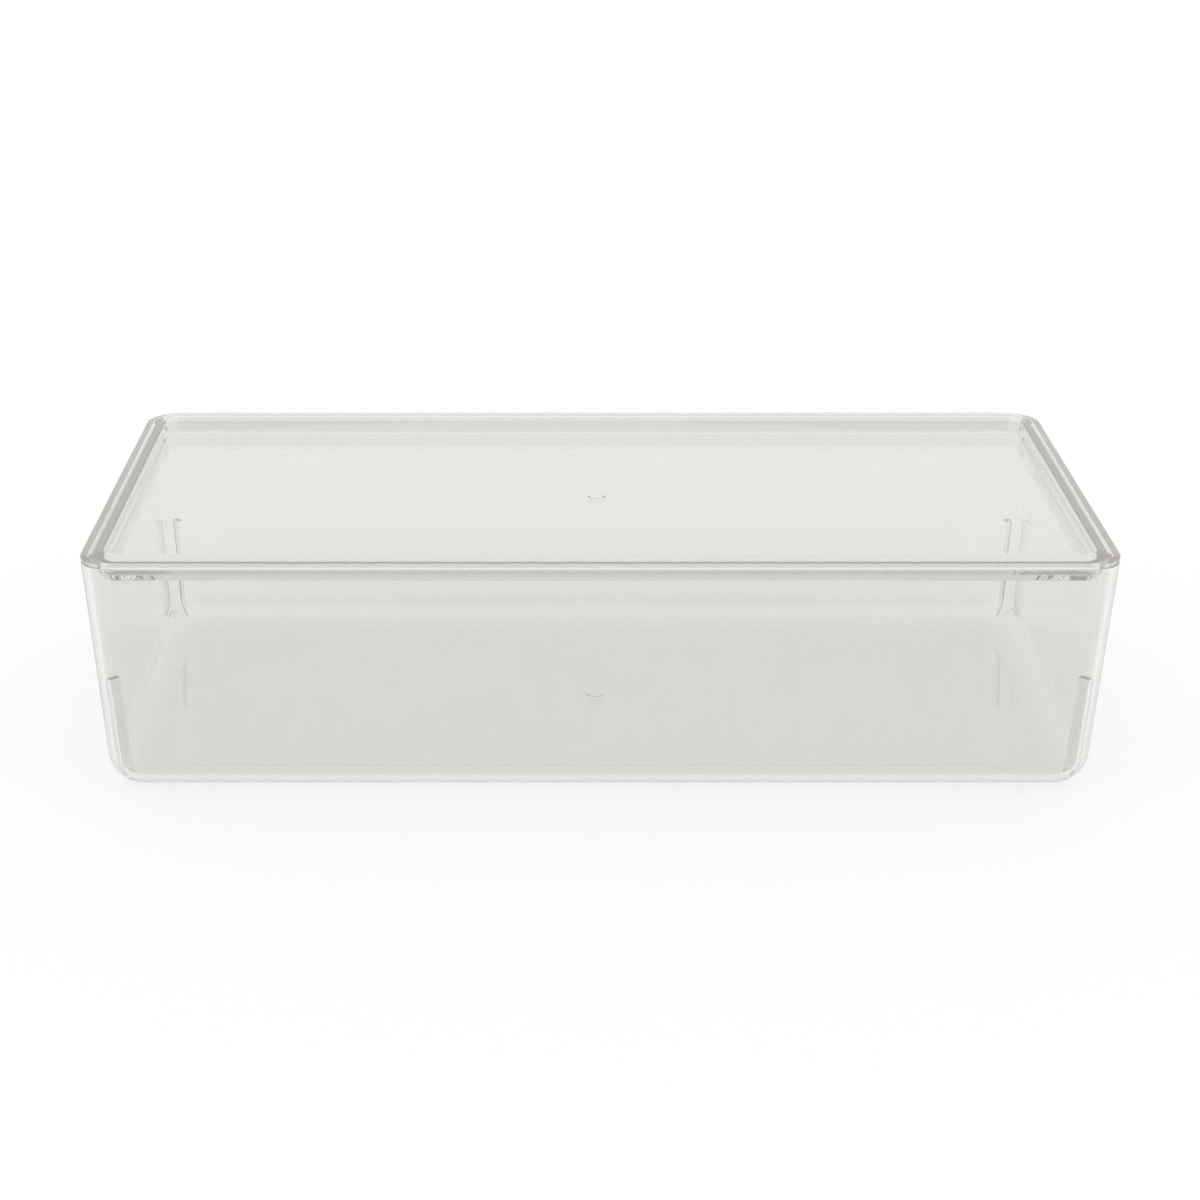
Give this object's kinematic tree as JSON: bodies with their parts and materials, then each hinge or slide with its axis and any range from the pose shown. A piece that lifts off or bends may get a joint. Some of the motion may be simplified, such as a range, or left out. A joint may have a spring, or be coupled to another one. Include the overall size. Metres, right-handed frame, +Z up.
{
  "type": "storage box with lid",
  "caption": "Clear moulded storage box: a drafted rectangular tray with rounded corners and a lift-off lid whose recessed panel plugs into the rim.",
  "frame": {"origin": "centre of the flat base, on the surface the box stands on", "axes": "+X along the long side, +Y to the back, +Z up, the way the lid lifts"},
  "size_m": [0.305, 0.1526, 0.0761],
  "materials": {
    "clear_plastic": "clear, polished"
  },
  "bodies": {
    "tray": {"tray": "clear_plastic"},
    "lid": {"lid": "clear_plastic"}
  },
  "joints": [
    {"name": "lid_lift", "type": "slide", "parent": "tray", "child": "lid", "axis": [0, 0, 1], "range_m": [0, 0.08]}
  ]
}
